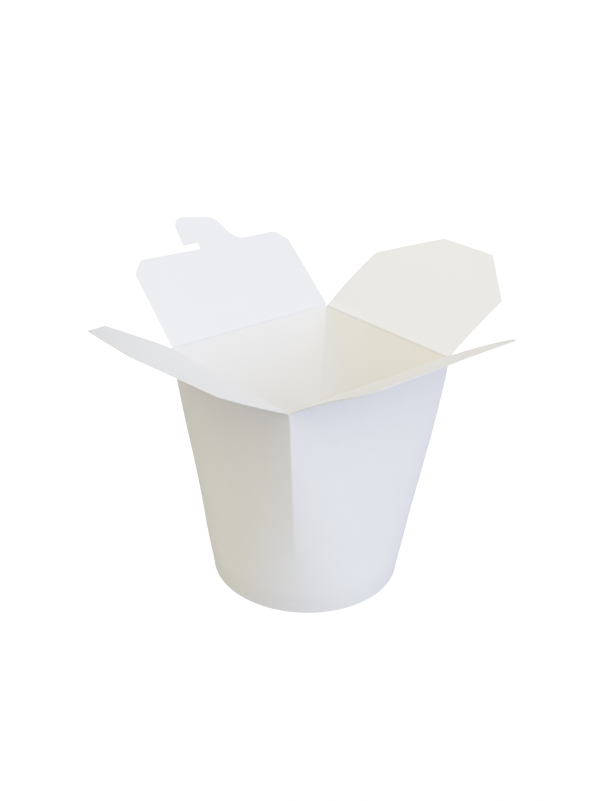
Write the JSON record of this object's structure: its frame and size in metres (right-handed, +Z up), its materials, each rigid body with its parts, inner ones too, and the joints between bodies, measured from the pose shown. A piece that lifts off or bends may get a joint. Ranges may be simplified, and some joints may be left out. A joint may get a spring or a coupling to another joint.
{
  "type": "noodle takeaway box",
  "caption": "Empty noodle takeaway box in white paperboard: round base rising to a rectangular mouth, standing open, with hinged dust flaps and main flaps, one with a locking hook.",
  "frame": {"origin": "On the surface the box stands on, below the middle of the whole open box with its flaps at rest. The round base's own centre is at x = 0, y = -0.003994, because the flap with the hook reaches further out than the flap with the slit.", "axes": "+Z up. +X through one dust flap, and -X through the other. +Y through the main flap with the locking hook, and -Y through the main flap with the slit."},
  "size_m": [0.2004, 0.1684, 0.151],
  "materials": {
    "board": "white coated paperboard, satin inside and matte outside"
  },
  "bodies": {
    "box": {"wall": "board", "base_disc": "board"},
    "hook_flap": {"flap_hook": "board"},
    "slot_flap": {"flap_slot": "board"},
    "right_dust_flap": {"flap_dust_right": "board"},
    "left_dust_flap": {"flap_dust_left": "board"}
  },
  "joints": [
    {"name": "hook_flap_hinge", "type": "hinge", "parent": "box", "child": "hook_flap", "pos_m": [0, 0.03771, 0.1097], "axis": [1, 0, 0], "range_deg": [-121.6, 136.9]},
    {"name": "slot_flap_hinge", "type": "hinge", "parent": "box", "child": "slot_flap", "pos_m": [0, -0.04569, 0.1097], "axis": [-1, 0, 0], "range_deg": [-110.2, 149.8]},
    {"name": "right_dust_flap_hinge", "type": "hinge", "parent": "box", "child": "right_dust_flap", "pos_m": [0.0464, -0.00399, 0.10895], "axis": [0, -1, 0], "range_deg": [-109, 151.5]},
    {"name": "left_dust_flap_hinge", "type": "hinge", "parent": "box", "child": "left_dust_flap", "pos_m": [-0.0464, -0.00399, 0.10895], "axis": [0, 1, 0], "range_deg": [-109, 154]}
  ]
}
